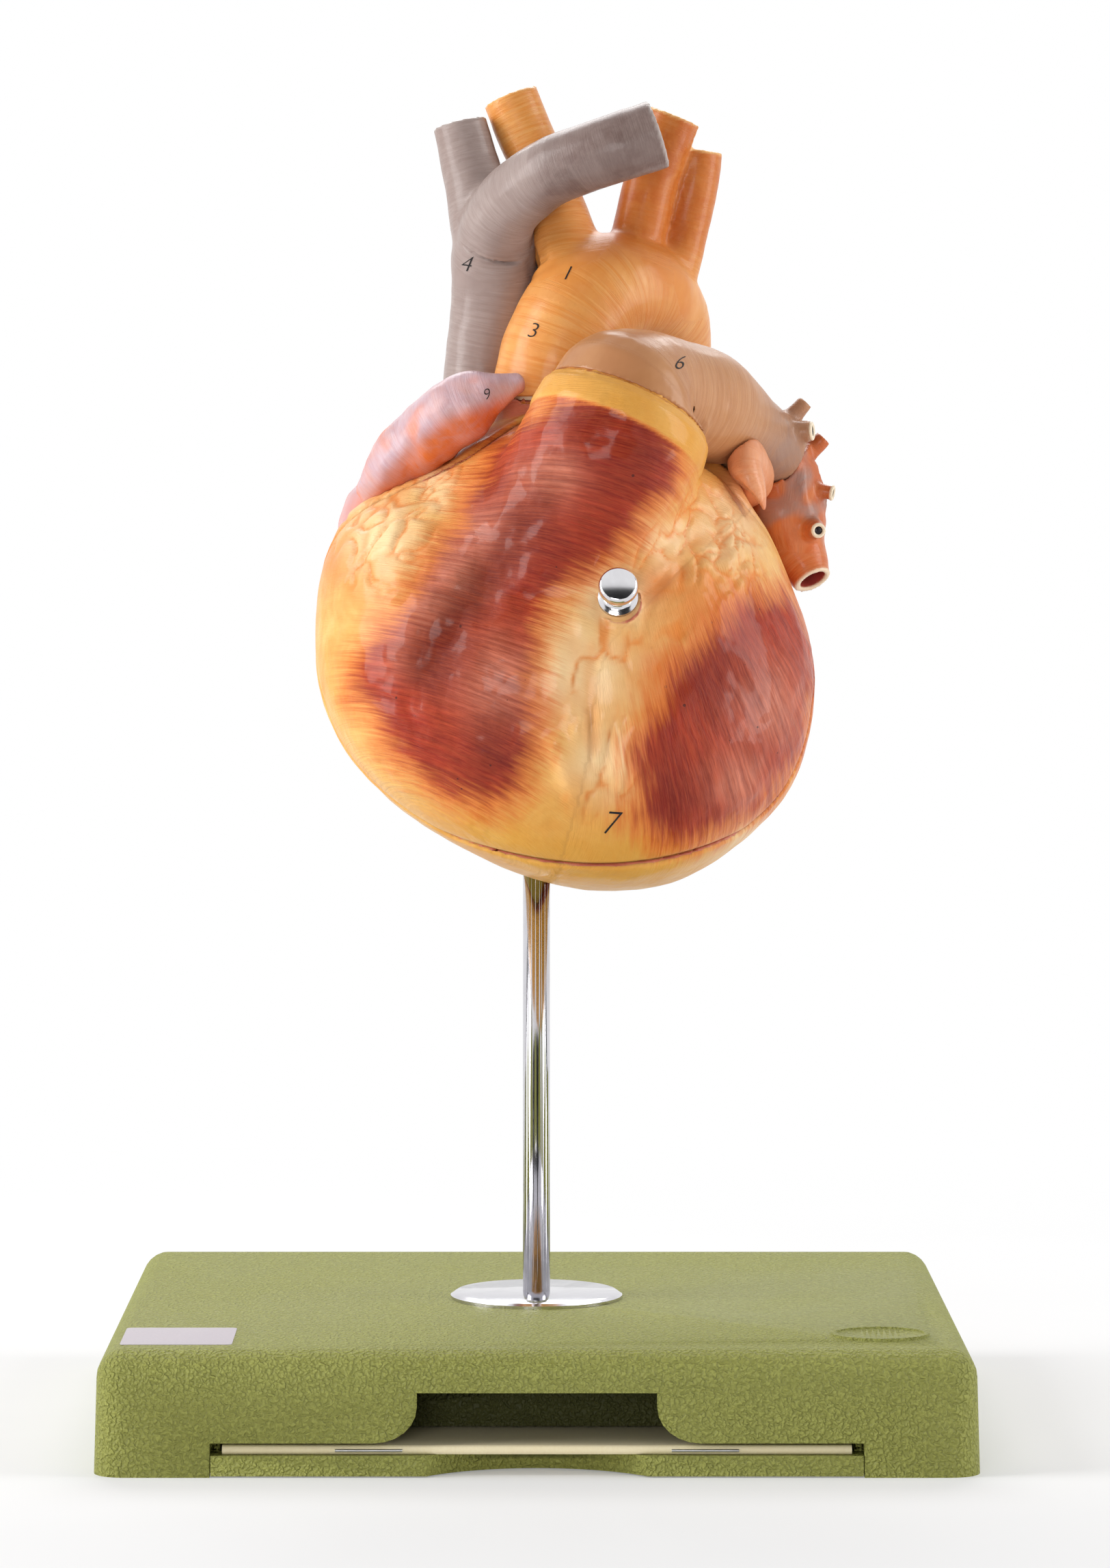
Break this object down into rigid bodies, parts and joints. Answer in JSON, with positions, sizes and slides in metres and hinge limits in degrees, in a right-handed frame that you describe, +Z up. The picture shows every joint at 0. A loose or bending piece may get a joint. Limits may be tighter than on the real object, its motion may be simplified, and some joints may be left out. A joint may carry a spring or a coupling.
{
  "type": "human heart anatomy model",
  "caption": "Natural-size anatomical heart on a rod and moulded base, with lift-off front wall, vessels and pulmonary trunk, and a booklet in the base.",
  "frame": {"origin": "middle of the stand's underside, on the surface it stands on", "axes": "+Z up, +X to the right of a viewer in front of the model, +Y away from that viewer"},
  "size_m": [0.185, 0.16, 0.2953],
  "materials": {
    "olive_plastic": "olive green, leather-grained",
    "screw_steel": "zinc-plated",
    "chrome_plate": "bright chrome plating",
    "brass_metal": "turned",
    "paper_cover": "coated paper",
    "paper_pages": "white paper",
    "cast_fat": "yellow fat and red muscle, satin varnish",
    "cast_atrium": "pink and lilac, satin varnish",
    "cast_artery": "orange, satin varnish",
    "cast_vein": "grey, satin varnish",
    "cast_leaflet": "cream, satin varnish"
  },
  "bodies": {
    "base": {"base_shell": "olive_plastic", "base_floor": "olive_plastic", "floor_screws": "screw_steel", "stand_flange": "chrome_plate", "stand_rod": "chrome_plate", "rod_washer": "screw_steel", "rod_nut": "screw_steel"},
    "booklet": {"booklet_cover": "paper_cover", "booklet_pages": "paper_pages", "booklet_staples": "screw_steel"},
    "washer": {"turn_washer": "brass_metal"},
    "heart": {"ventricle_rear": "cast_fat", "rod_socket": "brass_metal", "right_atrium": "cast_atrium", "right_auricle": "cast_atrium", "left_atrium": "cast_atrium", "left_auricle": "cast_atrium", "left_lung_root": "cast_artery", "right_lung_root": "cast_artery", "inferior_cava": "cast_vein", "mitral_valve": "cast_leaflet", "tricuspid_valve": "cast_leaflet", "aortic_valve": "cast_leaflet", "papillary_muscles": "cast_leaflet", "locating_pins": "screw_steel", "rear_magnets": "screw_steel"},
    "front": {"front_wall": "cast_fat", "knob": "chrome_plate", "knob_insert": "brass_metal", "front_magnets": "screw_steel", "pulmonary_valve": "cast_leaflet"},
    "great_vessels": {"aorta": "cast_artery", "superior_cava": "cast_vein"},
    "trunk": {"pulmonary_trunk": "cast_artery", "trunk_pin": "screw_steel"}
  },
  "joints": [
    {"name": "booklet_slide", "type": "slide", "parent": "base", "child": "booklet", "axis": [0, -1, 0], "range_m": [0, 0.1]},
    {"name": "heart_turn", "type": "hinge", "parent": "base", "child": "washer", "pos_m": [0, 0, 0.1215], "axis": [0, 0, 1], "continuous": true},
    {"name": "heart_lift", "type": "slide", "parent": "washer", "child": "heart", "axis": [0, 0, 1], "range_m": [0, 0.04]},
    {"name": "front_pull", "type": "slide", "parent": "heart", "child": "front", "axis": [0, -1, 0], "range_m": [0, 0.09]},
    {"name": "vessels_lift", "type": "slide", "parent": "heart", "child": "great_vessels", "axis": [0, 0, 1], "range_m": [0, 0.05]},
    {"name": "trunk_lift", "type": "slide", "parent": "heart", "child": "trunk", "axis": [0.2501, -0.4501, 0.8572], "range_m": [0, 0.04]}
  ]
}
